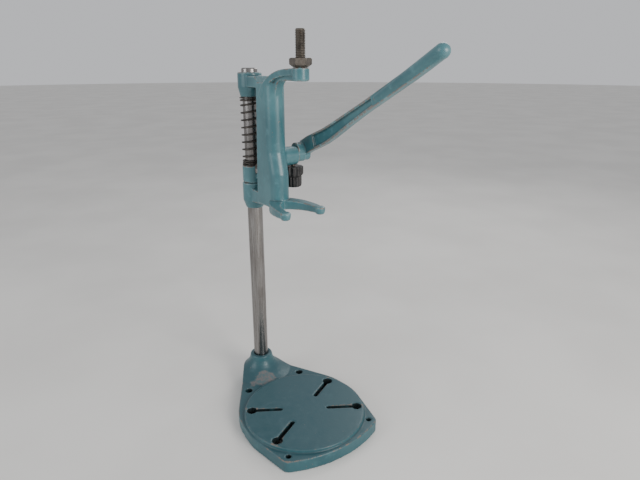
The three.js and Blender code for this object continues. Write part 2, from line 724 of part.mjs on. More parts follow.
const head = new THREE.Group();
add(head, "clamp_ring", clampRing(), teal());
add(head, "ring_clamp_bolt", clampBolt(), darkSteel());
add(head, "ring_clamp_washer", clampWasher(), brightSteel());
add(head, "ring_clamp_nut", clampNut(), darkSteel());
add(head, "link_pin", linkPin(), brightSteel());
add(head, "link_pin_clip_left", linkPinClip(-1), darkSteel());
add(head, "link_pin_clip_right", linkPinClip(1), darkSteel());
add(head, "return_spring", returnSpring(), darkSteel());
add(head, "spring_washer_lower", springWasher(SPRING.seat), darkSteel());

const carriage = new THREE.Group();
add(carriage, "carriage_casting", carriageCasting(), teal());
add(carriage, "spring_washer_upper", springWasher(UPPER_COLLAR.bottom - GAP - SPRING.washer), darkSteel());
add(carriage, "drill_clamp_stud", clampStud(), darkSteel());
add(carriage, "stud_lock_nut", hexNut(STUD_NUT), darkSteel());
add(carriage, "feed_lock_screw", lockScrew(), darkSteel());
add(carriage, "feed_lock_wheel", lockWheel(), blackPlastic());
add(carriage, "feed_lock_knob", lockKnob(), blackPlastic());

const lever = new THREE.Group();
add(lever, "lever_arm", leverArm(), teal());
add(lever, "lever_shaft", leverShaft(), brightSteel());
add(lever, "lever_roll_pin", leverRollPin(), darkSteel());
add(lever, "feed_crank", feedCrank(), darkSteel());
add(lever, "crank_roll_pin", crankRollPin(), darkSteel());

group.add(base, head, carriage, lever);
export default group;
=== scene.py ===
"""The looks of a bench drill stand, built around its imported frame. Metres, +Z up, in the frame's own axes."""

import json
import math

import bmesh
import bpy
import numpy as np
from mathutils import Matrix, Vector


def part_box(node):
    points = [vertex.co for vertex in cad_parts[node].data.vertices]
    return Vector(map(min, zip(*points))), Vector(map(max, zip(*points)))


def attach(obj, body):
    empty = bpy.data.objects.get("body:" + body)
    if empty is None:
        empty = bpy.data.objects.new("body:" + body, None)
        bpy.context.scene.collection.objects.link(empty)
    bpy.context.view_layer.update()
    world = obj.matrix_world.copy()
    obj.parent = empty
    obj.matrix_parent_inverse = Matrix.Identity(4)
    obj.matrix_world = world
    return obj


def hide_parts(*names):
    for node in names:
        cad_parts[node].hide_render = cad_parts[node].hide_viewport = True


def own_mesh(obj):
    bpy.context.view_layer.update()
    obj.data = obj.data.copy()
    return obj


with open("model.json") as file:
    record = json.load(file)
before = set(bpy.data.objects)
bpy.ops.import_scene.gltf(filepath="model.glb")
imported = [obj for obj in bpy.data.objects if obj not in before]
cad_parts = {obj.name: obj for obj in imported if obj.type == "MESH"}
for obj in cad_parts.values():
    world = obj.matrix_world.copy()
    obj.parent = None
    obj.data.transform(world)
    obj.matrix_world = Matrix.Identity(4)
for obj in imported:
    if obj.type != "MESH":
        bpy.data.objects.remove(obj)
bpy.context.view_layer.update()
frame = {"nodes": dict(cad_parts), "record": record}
NODES = frame["nodes"]
BODY_OF = {n: body for body, nodes in frame["record"]["behaviour"]["bodies"].items() for n in nodes}

MM = 0.001
COLUMN_Y = 151.4 * MM
SHAFT_Y, SHAFT_Z = 81.7 * MM, 426 * MM
LOCK_X, LOCK_Y = 34.6 * MM, SHAFT_Y
CORE = 0.3 * MM  # how close to its axis a bolt's or the shaft's outline starts, before its cap


# ---------------------------------------------------------------- node helpers
def linear(red, green, blue):
    """A display colour, 0 to 255, as linear RGBA."""
    channels = [c / 255 for c in (red, green, blue)]
    return tuple(c / 12.92 if c <= 0.04045 else ((c + 0.055) / 1.055) ** 2.4 for c in channels) + (1,)


class Finish:
    """A material that is put together from procedural nodes."""

    def __init__(self, name, **sockets):
        self.material = bpy.data.materials.new(name)
        self.material.use_nodes = True
        self.tree = self.material.node_tree
        self.shader = self.tree.nodes["Principled BSDF"]
        for socket, value in sockets.items():
            self.shader.inputs[socket.replace("_", " ")].default_value = value
        self.place = self.tree.nodes.new("ShaderNodeTexCoord").outputs["Object"]

    def node(self, kind, **settings):
        """A new node of this kind, with these settings."""
        made = self.tree.nodes.new(kind)
        for key, value in settings.items():
            setattr(made, key, value)
        return made

    def feed(self, socket, value):
        """Links another node's output to a socket, or sets the socket to a plain value."""
        if isinstance(value, bpy.types.NodeSocket):
            self.tree.links.new(value, socket)
        else:
            socket.default_value = value

    def stretched(self, x, y, z):
        """The piece's coordinates, scaled along each axis."""
        mapping = self.node("ShaderNodeMapping")
        self.feed(mapping.inputs["Vector"], self.place)
        mapping.inputs["Scale"].default_value = (x, y, z)
        return mapping.outputs["Vector"]

    def noise(self, scale, detail=3, roughness=0.5, vector=None, distortion=0):
        made = self.node("ShaderNodeTexNoise")
        self.feed(made.inputs["Vector"], vector or self.place)
        made.inputs["Scale"].default_value = scale
        made.inputs["Detail"].default_value = detail
        made.inputs["Roughness"].default_value = roughness
        made.inputs["Distortion"].default_value = distortion
        return made.outputs["Fac"]

    def attribute(self, name):
        """A level that mark_form wrote on the piece's points."""
        return self.node("ShaderNodeAttribute", attribute_name=name).outputs["Fac"]

    def math(self, operation, first, second=0.0, clamp=False):
        made = self.node("ShaderNodeMath", operation=operation, use_clamp=clamp)
        self.feed(made.inputs[0], first)
        self.feed(made.inputs[1], second)
        return made.outputs[0]

    def between(self, value, low, high, to_low=0.0, to_high=1.0):
        """A smooth step from to_low, where value is low, to to_high, where it is high."""
        made = self.node("ShaderNodeMapRange", interpolation_type="SMOOTHSTEP")
        self.feed(made.inputs["Value"], value)
        made.inputs["From Min"].default_value = low
        made.inputs["From Max"].default_value = high
        made.inputs["To Min"].default_value = to_low
        made.inputs["To Max"].default_value = to_high
        return made.outputs["Result"]

    def mix(self, factor, first, second):
        """The colour that is this far from the first to the second."""
        made = self.node("ShaderNodeMix", data_type="RGBA")
        sockets = {socket.identifier: socket for socket in [*made.inputs, *made.outputs]}
        self.feed(sockets["Factor_Float"], factor)
        self.feed(sockets["A_Color"], first)
        self.feed(sockets["B_Color"], second)
        return sockets["Result_Color"]

    def near(self, centre, size):
        """1 at centre, falling to 0 on an ellipsoid with these half sizes."""
        mapping = self.node("ShaderNodeMapping", vector_type="TEXTURE")
        self.feed(mapping.inputs["Vector"], self.place)
        mapping.inputs["Location"].default_value = centre
        mapping.inputs["Scale"].default_value = size
        length = self.node("ShaderNodeVectorMath", operation="LENGTH")
        self.feed(length.inputs[0], mapping.outputs["Vector"])
        return self.math("SUBTRACT", 1.0, length.outputs["Value"], clamp=True)

    def facing_up(self):
        """1 where the surface faces up, and -1 where it faces down."""
        split = self.node("ShaderNodeSeparateXYZ")
        self.feed(split.inputs[0], self.node("ShaderNodeNewGeometry").outputs["Normal"])
        return split.outputs["Z"]

    def bump(self, *layers):
        """Each layer is (height, strength, distance in metres)."""
        below = None
        for height, strength, distance in layers:
            made = self.node("ShaderNodeBump")
            made.inputs["Strength"].default_value = strength
            made.inputs["Distance"].default_value = distance
            self.feed(made.inputs["Height"], height)
            if below:
                self.feed(made.inputs["Normal"], below)
            below = made.outputs["Normal"]
        self.feed(self.shader.inputs["Normal"], below)

    def done(self, colour, roughness):
        """Gives the shader its colour and roughness, and returns the material."""
        self.feed(self.shader.inputs["Base Color"], colour)
        self.feed(self.shader.inputs["Roughness"], roughness)
        return self.material


# ---------------------------------------------------------------- finishes
TEAL = linear(70, 117, 124)
TEAL_LIGHT = linear(90, 136, 143)
TEAL_DEEP = linear(50, 96, 104)
# Pale teal for edges: partly thin paint, partly a painted highlight.
TEAL_PALE = linear(150, 176, 178)
PRIMER = linear(106, 97, 90)
BARE_IRON = linear(122, 118, 114)
# Dark colour for hollows: partly dirt, partly painted shade.
GRIME_AND_SHADE = linear(24, 34, 36)
DUST = linear(138, 148, 146)
# Colour of the painted shade that darkens the base, most of all on top.
SHADE_TEAL = linear(18, 52, 61)
STAIN_BROWN = linear(122, 104, 100)
STAIN_GREY = linear(84, 100, 102)


def enamel(name, wear=1.0, patch=None, chips=(), top_shade=0.0, gloss=0.3):
    """Old enamel on cast iron: mottled, dusty on top, darkened in its hollows by dirt and painted shade, paled
    on its edges by thin paint and a painted highlight, and rubbed through on its edges.

    wear scales the rubbing, top_shade is how dark a painted shade makes it, most of all on top, and gloss is
    its shine.
    patch is where a label has left a stain, and each of chips is a knock through to the metal. Both are a
    centre with half sizes.
    """
    f = Finish(name, Specular_IOR_Level=0.35 + 0.5 * gloss, Coat_Weight=gloss, Coat_Roughness=0.26)
    cloud = f.noise(11, 4, 0.55)
    mottle = f.noise(85, 5, 0.6)
    grain = f.noise(900, 3, 0.6)
    colour = f.mix(f.between(cloud, 0.35, 0.68), TEAL_DEEP, TEAL)
    colour = f.mix(f.between(mottle, 0.52, 0.78, 0, 0.55), colour, TEAL_LIGHT)
    dust = f.math("MULTIPLY", f.between(f.facing_up(), 0.55, 0.98), f.between(mottle, 0.3, 0.7, 0.0, 0.10))
    colour = f.mix(dust, colour, DUST)
    # Pale edges: partly paint worn thin, partly a painted highlight along the rounded edges.
    thin_paint_and_highlight = f.math("MULTIPLY", f.attribute("edge"), f.between(mottle, 0.25, 0.6, 0.2, 0.6))
    colour = f.mix(thin_paint_and_highlight, colour, TEAL_PALE)
    # Painted shade: a darker teal over the piece, strongest where it faces up.
    upward = f.between(f.facing_up(), -0.2, 0.95, 0.5, 1.0)
    painted_shade = f.math("MULTIPLY", upward, f.between(cloud, 0.3, 0.7, top_shade, 1.25 * top_shade))
    colour = f.mix(painted_shade, colour, SHADE_TEAL)
    # Hollows darkened: partly dirt, partly painted shade where less light reaches.
    dirt_and_shade = f.math("MULTIPLY", f.attribute("cavity"), f.between(mottle, 0.25, 0.65, 0.35, 0.95))
    colour = f.mix(dirt_and_shade, colour, GRIME_AND_SHADE)
    specks = f.between(f.noise(240, 2, 0.5), 0.735, 0.76)
    rubbed = f.math("MULTIPLY", f.attribute("edge"), f.between(f.noise(150, 5, 0.7), 0.42, 0.56))
    rubbed = f.math("MULTIPLY", rubbed, wear)
    for centre, size in chips:
        ragged = f.between(f.noise(320, 4, 0.7), 0.2, 0.8, 0.5, 1.6)
        spot = f.math("MULTIPLY", f.near(centre, size), ragged)
        rubbed = f.math("MAXIMUM", rubbed, f.between(spot, 0.3, 0.42))
    rubbed = f.math("MAXIMUM", rubbed, f.math("MULTIPLY", specks, 0.7), clamp=True)
    colour = f.mix(f.between(rubbed, 0.18, 0.42), colour, PRIMER)
    colour = f.mix(f.between(rubbed, 0.62, 0.85), colour, BARE_IRON)
    roughness = f.between(mottle, 0.25, 0.75, 0.3, 0.48)
    roughness = f.math("ADD", roughness, f.math("MULTIPLY", dust, 0.5), clamp=True)
    if patch:
        stain = f.math("ADD", f.near(*patch), f.between(f.noise(70, 5, 0.65), 0.3, 0.7, -0.22, 0.22))
        paper = f.mix(f.between(f.noise(160, 4, 0.6), 0.35, 0.65), STAIN_BROWN, STAIN_GREY)
        colour = f.mix(f.between(stain, 0.26, 0.5, 0, 0.62), colour, paper)
        roughness = f.math("ADD", roughness, f.between(stain, 0.28, 0.44, 0, 0.25), clamp=True)
    f.bump(
        (f.noise(26, 3, 0.5), 0.35, 0.0012),
        (f.noise(180, 4, 0.55), 0.30, 0.00035),
        (grain, 0.14, 0.00012),
        (f.math("SUBTRACT", 1.0, rubbed), 0.4, 0.00015),
    )
    return f.done(colour, roughness)


def bright_bar(name):
    """Drawn steel bar: fine lines along it, faint tarnish and rub marks around it."""
    f = Finish(name, Metallic=1.0, Anisotropic=0.35)
    drawn = f.noise(60, 6, 0.7, f.stretched(18, 18, 0.35))
    rings = f.noise(34, 5, 0.65, f.stretched(0.6, 0.6, 16))
    cloud = f.noise(30, 5, 0.6, f.stretched(1, 1, 0.4))
    colour = f.mix(f.between(drawn, 0.3, 0.7), linear(112, 108, 105), linear(160, 158, 157))
    colour = f.mix(f.between(cloud, 0.5, 0.8, 0, 0.6), colour, linear(92, 82, 76))
    pits = f.between(f.noise(420, 2, 0.6), 0.7, 0.75)
    colour = f.mix(pits, colour, linear(88, 72, 60))
    roughness = f.math("ADD", f.between(drawn, 0.3, 0.7, 0.2, 0.34), f.between(cloud, 0.5, 0.8, 0, 0.2))
    f.bump((drawn, 0.10, 0.00008), (rings, 0.08, 0.00006), (pits, -0.3, 0.0001))
    return f.done(colour, roughness)


def dark_steel(name, warm=linear(92, 82, 74), cool=linear(58, 54, 52), rust=0.5):
    """Oxidised, oily steel with a little brown rust in the hollows."""
    f = Finish(name, Metallic=0.85)
    cloud = f.noise(70, 5, 0.6)
    grain = f.noise(650, 4, 0.65)
    colour = f.mix(f.between(cloud, 0.3, 0.7), cool, warm)
    colour = f.mix(f.between(grain, 0.35, 0.8, 0, 0.4), colour, linear(128, 120, 112))
    colour = f.mix(f.between(f.noise(130, 5, 0.7), 0.55, 0.72, 0, rust), colour, linear(92, 58, 40))
    roughness = f.between(grain, 0.25, 0.75, 0.34, 0.58)
    f.bump((f.noise(240, 4, 0.6), 0.22, 0.0002), (grain, 0.18, 0.00008))
    return f.done(colour, roughness)


def zinc(name):
    """Dull zinc plating, cloudy and finely grained."""
    f = Finish(name, Metallic=0.95)
    cloud = f.noise(160, 4, 0.6)
    colour = f.mix(f.between(cloud, 0.35, 0.65), linear(132, 128, 120), linear(168, 166, 160))
    f.bump((f.noise(700, 3, 0.6), 0.15, 0.00006))
    return f.done(colour, f.between(cloud, 0.3, 0.7, 0.3, 0.5))


def black_plastic(name):
    """Moulded black plastic, greyed by handling on its ribs."""
    f = Finish(name, Specular_IOR_Level=0.45)
    cloud = f.noise(120, 4, 0.6)
    grain = f.noise(1400, 3, 0.6)
    colour = f.mix(f.between(cloud, 0.3, 0.7), linear(30, 30, 31), linear(50, 49, 49))
    handled = f.math("MULTIPLY", f.attribute("edge"), f.between(cloud, 0.35, 0.6))
    colour = f.mix(f.math("MULTIPLY", handled, 0.6), colour, linear(92, 84, 80))
    f.bump((grain, 0.2, 0.00006), (f.noise(300, 3, 0.5), 0.1, 0.0001))
    return f.done(colour, f.between(cloud, 0.3, 0.7, 0.36, 0.55))


# ---------------------------------------------------------------- mesh helpers
def settle(piece, node, finish, crease=None):
    """Gives a piece its material and shading, and puts it in the place of its CAD node."""
    piece.data.materials.clear()
    piece.data.materials.append(finish)
    piece.data.shade_smooth()
    if crease:
        piece.data.set_sharp_from_angle(angle=math.radians(crease))
    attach(piece, BODY_OF[node])
    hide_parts(node)
    return piece


def add_object(name, data):
    made = bpy.data.objects.new(name, data)
    bpy.context.scene.collection.objects.link(made)
    return made


def new_piece(name, vertices, faces):
    mesh = bpy.data.meshes.new(name)
    mesh.from_pydata([tuple(v) for v in vertices], [], [tuple(int(i) for i in face) for face in faces])
    mesh.update()
    return add_object(name, mesh)


WELD_DISTANCE = 2e-6
FLAT_WITHIN = math.radians(0.5)


def welded_copy(node, name):
    """A copy of a CAD node with its points merged and its flat faces made whole."""
    mesh = NODES[node].data.copy()
    work = bmesh.new()
    work.from_mesh(mesh)
    bmesh.ops.remove_doubles(work, verts=work.verts, dist=WELD_DISTANCE)
    bmesh.ops.dissolve_limit(work, angle_limit=FLAT_WITHIN, verts=work.verts, edges=work.edges)
    work.to_mesh(mesh)
    work.free()
    for layer in list(mesh.uv_layers):
        mesh.uv_layers.remove(layer)
    return add_object(name, mesh)


def bake_modifiers(piece):
    """Makes a piece's mesh what its modifiers show, and takes them off."""
    graph = bpy.context.evaluated_depsgraph_get()
    mesh = bpy.data.meshes.new_from_object(piece.evaluated_get(graph))
    piece.modifiers.clear()
    piece.data = mesh


def neighbour_mean(values, edges, degree):
    """The mean of each vertex's neighbours, for values with one or more columns."""
    columns = values.reshape(len(values), -1)
    total = np.empty_like(columns)
    for i in range(columns.shape[1]):
        column = columns[:, i]
        total[:, i] = np.bincount(edges[:, 0], column[edges[:, 1]], len(columns))
        total[:, i] += np.bincount(edges[:, 1], column[edges[:, 0]], len(columns))
    return (total / degree[:, None]).reshape(values.shape)


def read_points(mesh):
    points = np.empty(len(mesh.vertices) * 3)
    mesh.vertices.foreach_get("co", points)
    return points.reshape(-1, 3)


def read_edges(mesh):
    """Each edge's two vertices, and how many edges meet at each vertex."""
    edges = np.empty(len(mesh.edges) * 2, dtype=np.int64)
    mesh.edges.foreach_get("vertices", edges)
    edges = edges.reshape(-1, 2)
    return edges, np.maximum(np.bincount(edges.ravel(), minlength=len(mesh.vertices)), 1)


def ramp(value, start, full):
    """0 up to start, 1 from full on, and even between them."""
    return np.clip((value - start) / (full - start), 0, 1)


CAST_SHARP, CAST_HOLLOW = (150, 480), (110, 420)
MOULDED_FORM = (300, 1500)
GRID_NEIGHBOURS = 4
CURVATURE_PASSES = 3


def mark_form(piece, step, sharp=CAST_SHARP, hollow=CAST_HOLLOW):
    """Writes how much of an edge and of a hollow each point is, as "edge" and "cavity": the enamel wears and
    pales its edges, the paling partly a painted highlight, and darkens its hollows with dirt and painted shade.

    step is the spacing of the points. sharp and hollow are the curvatures, in 1/m, where each starts and is
    full. Points on an even grid, with four neighbours each, give the sum of the surface's two curvatures.
    """
    mesh = piece.data
    points = read_points(mesh)
    edges, degree = read_edges(mesh)
    normals = np.empty(len(mesh.vertices) * 3)
    mesh.vertices.foreach_get("normal", normals)
    pull = neighbour_mean(points, edges, degree) - points
    curvature = -GRID_NEIGHBOURS * (pull * normals.reshape(-1, 3)).sum(1) / step**2
    for _ in range(CURVATURE_PASSES):
        curvature = neighbour_mean(curvature, edges, degree)
    levels = {"edge": ramp(curvature, *sharp), "cavity": ramp(-curvature, *hollow)}
    for name, level in levels.items():
        layer = mesh.attributes.new(name, "FLOAT", "POINT")
        layer.data.foreach_set("value", level.astype(np.float32))


SOCKET_BORE, SOCKET_MIDDLE, SOCKET_FLOOR = 12.82 * MM, 9 * MM, 6.12 * MM


def clear_socket(piece):
    """Opens the base's socket back to its clearance around the column, which smoothing narrows a little.

    Only its wall moves: the points above its floor that lie between its middle and its bore.
    """
    points = read_points(piece.data)
    across = points[:, :2] - (0, COLUMN_Y)
    radius = np.hypot(*across.T)
    tight = (radius < SOCKET_BORE) & (radius > SOCKET_MIDDLE) & (points[:, 2] > SOCKET_FLOOR)
    points[tight, :2] += across[tight] * (SOCKET_BORE / radius[tight] - 1)[:, None]
    piece.data.vertices.foreach_set("co", points.ravel())
    piece.data.update()


BASE_HOLES = ((51.5 * MM, 101.5 * MM, 6 * MM), (74.5 * MM, -75 * MM, 4 * MM))  # x on both sides, y, radius
SLOTTED_RADIUS = 94 * MM
BELOW_TABLE_FACE, BELOW_BASE_FACE = 24 * MM, 18.8 * MM
HOLE_MARGIN = 0.5 * MM
# How strongly painted shade darkens the insides of the base's slots and holes.
OPENING_SHADE = 1.3


def darken_openings(piece):
    """Paints shade on the walls of the base's slots and holes, down to its underside, by raising their cavity
    level.
    """
    points = read_points(piece.data)
    x, y, z = points.T
    inside = (np.hypot(x, y) < SLOTTED_RADIUS) & (z < BELOW_TABLE_FACE)
    for hole_x, hole_y, radius in BASE_HOLES:
        in_hole = np.hypot(np.abs(x) - hole_x, y - hole_y) < radius + HOLE_MARGIN
        inside |= in_hole & (z < BELOW_BASE_FACE)
    cavity = piece.data.attributes["cavity"]
    level = np.empty(len(points), np.float32)
    cavity.data.foreach_get("value", level)
    # Painted shade: the walls of the openings get a full cavity level, which the enamel darkens.
    cavity.data.foreach_set("value", np.maximum(level, inside * OPENING_SHADE).astype(np.float32))


SMOOTH_IN, SMOOTH_OUT = 0.5, 0.42


def casting(node, name, voxel, passes, finish):
    """A cast piece: its corners and fillets are rounded off as a foundry pattern's are.

    Each pass draws the points in and then lets them out a little less, so the piece nearly keeps its size.
    """
    piece = welded_copy(node, name)
    remesh = piece.modifiers.new("skin", "REMESH")
    remesh.mode = "VOXEL"
    remesh.voxel_size = voxel
    bake_modifiers(piece)
    mesh = piece.data
    edges, degree = read_edges(mesh)
    points = read_points(mesh)
    for _ in range(passes):
        points += SMOOTH_IN * (neighbour_mean(points, edges, degree) - points)
        points -= SMOOTH_OUT * (neighbour_mean(points, edges, degree) - points)
    mesh.vertices.foreach_set("co", points.ravel())
    mesh.update()
    mark_form(piece, voxel)
    return settle(piece, node, finish)


def machined(node, name, width, finish):
    """A machined or pressed piece: crisp, with its edges just broken."""
    piece = welded_copy(node, name)
    bevel = piece.modifiers.new("broken edges", "BEVEL")
    bevel.width = width
    bevel.segments = 2
    bevel.limit_method = "ANGLE"
    bevel.angle_limit = math.radians(32)
    bake_modifiers(piece)
    settle(piece, node, finish, crease=35)


def skin(name, rows, ring_closed=False):
    """A surface through rows of points, with end caps, or with its last row joined to its first."""
    rows = np.asarray(rows)
    count, sides = rows.shape[:2]
    vertices = rows.reshape(-1, 3)
    here = np.arange(sides)
    after = (here + 1) % sides
    faces = []
    for row in range(count if ring_closed else count - 1):
        a, b = row * sides, ((row + 1) % count) * sides
        faces.extend(np.stack([a + here, a + after, b + after, b + here], 1))
    faces = [tuple(face) for face in faces]
    if not ring_closed:
        start, end = len(vertices), len(vertices) + 1
        vertices = np.vstack([vertices, rows[0].mean(0), rows[-1].mean(0)])
        last = (count - 1) * sides
        faces += [(start, j, i) for i, j in zip(here, after)]
        faces += [(end, last + i, last + j) for i, j in zip(here, after)]
    return new_piece(name, vertices, faces)


def ring_of(angles, radii, height, centre=(0, 0)):
    """Points at these angles and radii about a vertical axis, all at one height."""
    x = centre[0] + radii * np.cos(angles)
    y = centre[1] + radii * np.sin(angles)
    return np.stack([x, y, np.full(len(angles), height)], 1)


def turned_rows(profile, sides, centre=(0, 0), shape=None):
    """Rows about a vertical axis from (radius, height) pairs.

    shape(angles, radius, height) may give each angle its own radius.
    """
    angles = np.linspace(0, 2 * math.pi, sides, endpoint=False)
    rows = []
    for radius, height in profile:
        radii = shape(angles, radius, height) if shape else np.full(sides, radius)
        rows.append(ring_of(angles, radii, height, centre))
    return rows


def lay_along(piece, origin, direction):
    """Turns a piece made on the vertical axis so that it lies along a direction from origin."""
    turn = Vector((0, 0, 1)).rotation_difference(Vector(direction)).to_matrix().to_4x4()
    piece.data.transform(Matrix.Translation(Vector(origin)) @ turn)
    return piece


def rounded(points, radius, steps=4):
    """A (radius, height) outline with every corner between its two ends rounded."""
    points = [np.array(p, float) for p in points]
    out = [points[0]]
    for before, corner, after in zip(points, points[1:], points[2:]):
        into, away = before - corner, after - corner
        reach = min(radius, 0.45 * np.linalg.norm(into), 0.45 * np.linalg.norm(away))
        a = corner + into / np.linalg.norm(into) * reach
        b = corner + away / np.linalg.norm(away) * reach
        for i in range(steps + 1):
            t = i / steps
            out.append((1 - t) ** 2 * a + 2 * t * (1 - t) * corner + t**2 * b)
    out.append(points[-1])
    return [tuple(p) for p in out]


def hex_radius(across_flats):
    """A shape for turned_rows: a hexagon that each row's radius cuts back."""

    def shape(angles, limit, height):
        folded = (angles + math.pi / 6) % (math.pi / 3) - math.pi / 6
        return np.minimum(across_flats / 2 / np.cos(folded), limit)

    return shape


def crest_share(angles, height, pitch):
    """How high a point is on a thread's flank, from 0 in its root to 1 on its crest."""
    turn = (height / pitch - angles / (2 * math.pi)) % 1
    steepness, root = 2.6, 0.25
    return np.clip(np.abs(turn - 0.5) * steepness - root, 0, 1)


# ---------------------------------------------------------------- pieces
def column_bar(finish):
    low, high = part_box("column")
    r, core, foot, top = 12.5 * MM, 0.5 * MM, low.z, high.z
    low_chamfer, top_chamfer, plain_end = 1 * MM, 1.5 * MM, 8 * MM
    outline = rounded(
        [(core, foot), (r - low_chamfer, foot), (r, foot + low_chamfer),
         (r, top - top_chamfer), (r - top_chamfer, top), (core, top)],
        0.6 * MM,
    )
    heights = np.linspace(foot + plain_end, top - plain_end, 24)
    middle = len(outline) // 2
    outline = outline[:middle] + [(r, h) for h in heights] + outline[middle:]
    piece = skin("column_bar", turned_rows(outline, 112, (0, COLUMN_Y)))
    settle(piece, "column", finish, crease=40)


def threaded_stud(finish):
    low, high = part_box("drill_clamp_stud")
    r, depth, pitch, rows_per_turn = 7 * MM, 0.9 * MM, 2 * MM, 10
    end_radius, chamfer = 5.4 * MM, 1.8 * MM

    def thread(angles, limit, height):
        return np.minimum(r - depth * (1 - crest_share(angles, height, pitch)), limit)

    heights = np.linspace(low.z, high.z, int((high.z - low.z) / pitch * rows_per_turn))
    from_end = np.minimum(heights - low.z, high.z - heights)
    outline = [(end_radius + min(gap, chamfer), height) for gap, height in zip(from_end, heights)]
    piece = skin("threaded_stud", turned_rows(outline, 40, shape=thread))
    settle(piece, "drill_clamp_stud", finish, crease=50)


def stud_nut(finish):
    low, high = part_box("stud_lock_nut")
    foot, top = low.z, high.z
    flats, corner, bore, lead_in, spacing = 26 * MM, 15.01 * MM, 7.4 * MM, 0.8 * MM, 0.35 * MM
    (low_width, low_height), (top_width, top_height) = (5 * MM, 3.6 * MM), (2.2 * MM, 1.2 * MM)
    outer = rounded(
        [(bore + lead_in, foot), (corner - low_width, foot), (corner, foot + low_height),
         (corner, top - top_height), (corner - top_width, top), (bore + lead_in, top)],
        0.7 * MM,
        6,
    )
    inner = [(bore, top - lead_in), (bore, foot + lead_in)]
    dense = []
    for (r0, h0), (r1, h1) in zip(outer, outer[1:]):
        steps = 1 + int(math.hypot(r1 - r0, h1 - h0) / spacing)
        dense += [(r0 + (r1 - r0) * i / steps, h0 + (h1 - h0) * i / steps) for i in range(steps)]
    rows = turned_rows(dense + [outer[-1]] + inner, 144, shape=hex_radius(flats))
    piece = skin("hex_lock_nut", rows, ring_closed=True)
    settle(piece, "stud_lock_nut", finish, crease=28)


BOLT_RADIUS, BOLT_PITCH, THREAD_DEPTH = 4 * MM, 1.25 * MM, 0.6 * MM
BOLT_FLATS, BOLT_HEAD = 13 * MM, 5.5 * MM


def hex_bolt(node, name, origin, direction, length, finish):
    """An M8 bolt whose shank runs from origin along direction, with its hexagon head behind it."""
    corner = BOLT_FLATS / math.sqrt(3)
    inset, edge, tip, spacing = 1.1 * MM, 0.3 * MM, 1 * MM, 0.16 * MM
    profile = rounded(
        [(CORE, -BOLT_HEAD), (corner - inset, -BOLT_HEAD), (corner, -BOLT_HEAD + 0.7 * inset),
         (corner, -edge), (corner - edge, 0), (BOLT_RADIUS + edge, 0)],
        0.4 * MM,
    )

    def shape(angles, limit, height):
        if height <= 0:
            return hex_radius(BOLT_FLATS)(angles, limit, height)
        crest = crest_share(angles, height, BOLT_PITCH)
        return np.minimum(BOLT_RADIUS - THREAD_DEPTH * (1 - crest), limit)

    heights = np.linspace(0.01 * MM, length, max(2, int(length / spacing)))
    profile += [(min(BOLT_RADIUS, BOLT_RADIUS - tip + (length - height)), height) for height in heights]
    piece = skin(name, turned_rows(profile, 72, shape=shape))
    settle(lay_along(piece, origin, direction), node, finish, crease=32)


def set_screw(finish):
    low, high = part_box("column_set_screw")
    head_face, height = high.y - BOLT_HEAD, 38 * MM
    hex_bolt("column_set_screw", "set_screw", (0, head_face, height), (0, -1, 0), head_face - low.y, finish)


def clamp_bolt(finish):
    low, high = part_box("ring_clamp_bolt")
    middle = (low + high) / 2
    origin = (middle.x, low.y + BOLT_HEAD, middle.z)
    hex_bolt("ring_clamp_bolt", "clamp_bolt", origin, (0, 1, 0), high.y - low.y - BOLT_HEAD, finish)


POINTS_PER_RIB = 14


def ribbed(node, name, outline, ribs, depth, finish):
    """A moulded knob with ribs, its outline given as (radius, height, rib share)."""
    angles = np.linspace(0, 2 * math.pi, ribs * POINTS_PER_RIB, endpoint=False)
    rib = np.clip(0.5 + 0.75 * np.cos(ribs * angles), 0, 1)
    rows = []
    for radius, height, share in outline:
        radii = radius - depth * share * (1 - rib)
        rows.append(ring_of(angles, radii, height, (LOCK_X, LOCK_Y)))
    piece = skin(name, rows)
    mark_form(piece, 0.6 * MM, sharp=MOULDED_FORM, hollow=MOULDED_FORM)
    settle(piece, node, finish, crease=50)


def shares(steps):
    """Even shares of a stretch, from its first step to 1."""
    return [i / steps for i in range(1, steps + 1)]


def knob_outline(low, high, foot, waist, rim, flare):
    """A moulded knob's (radius, height, rib share), from its underside to its top.

    foot, waist and rim are its radii at its underside, above its flare and below its top edge.
    """
    core, dish, lip, slope, edge = 1 * MM, 1.2 * MM, 2.2 * MM, 3 * MM, 1.6 * MM
    outline = [(core, low + dish, 0), (foot - slope, low + dish, 0), (foot - lip, low, 0), (foot, low, 0.2)]
    for t in shares(14):
        radius = foot + (waist - foot) * math.sin(t * math.pi / 2)
        outline.append((radius, low + flare * t**1.4, min(1, t * 1.6)))
    for t in shares(8):
        outline.append((waist + (rim - waist) * t, low + flare + (high - low - flare - edge) * t, 1))
    for t in shares(6):
        radius = rim - edge * (1 - math.cos(t * math.pi / 2))
        outline.append((radius, high - edge * (1 - math.sin(t * math.pi / 2)), 1 - 0.6 * t))
    outline.append((core, high, 0))
    return outline


def lock_wheel(finish):
    low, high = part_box("feed_lock_wheel")
    outline = knob_outline(low.z, high.z, foot=12.2 * MM, waist=15.6 * MM, rim=15.7 * MM, flare=5 * MM)
    ribbed("feed_lock_wheel", "lock_wheel", outline, 12, 1.7 * MM, finish)


def lock_knob(finish):
    low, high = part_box("feed_lock_knob")
    outline = knob_outline(low.z, high.z, foot=10.4 * MM, waist=12.9 * MM, rim=13.1 * MM, flare=3.4 * MM)
    ribbed("feed_lock_knob", "lock_knob", outline, 15, 1.5 * MM, finish)


COIL_RADIUS, WIRE_RADIUS, CLOSED_PITCH = 15.4 * MM, 1.4 * MM, 3.1 * MM
LOW_TURNS, OPEN_TURNS, HIGH_TURNS = 1.6, 8.02, 0.8
COIL_START = 2.47  # the angle of the wire's lower end, in radians
STEPS_PER_TURN, WIRE_SIDES = 56, 12


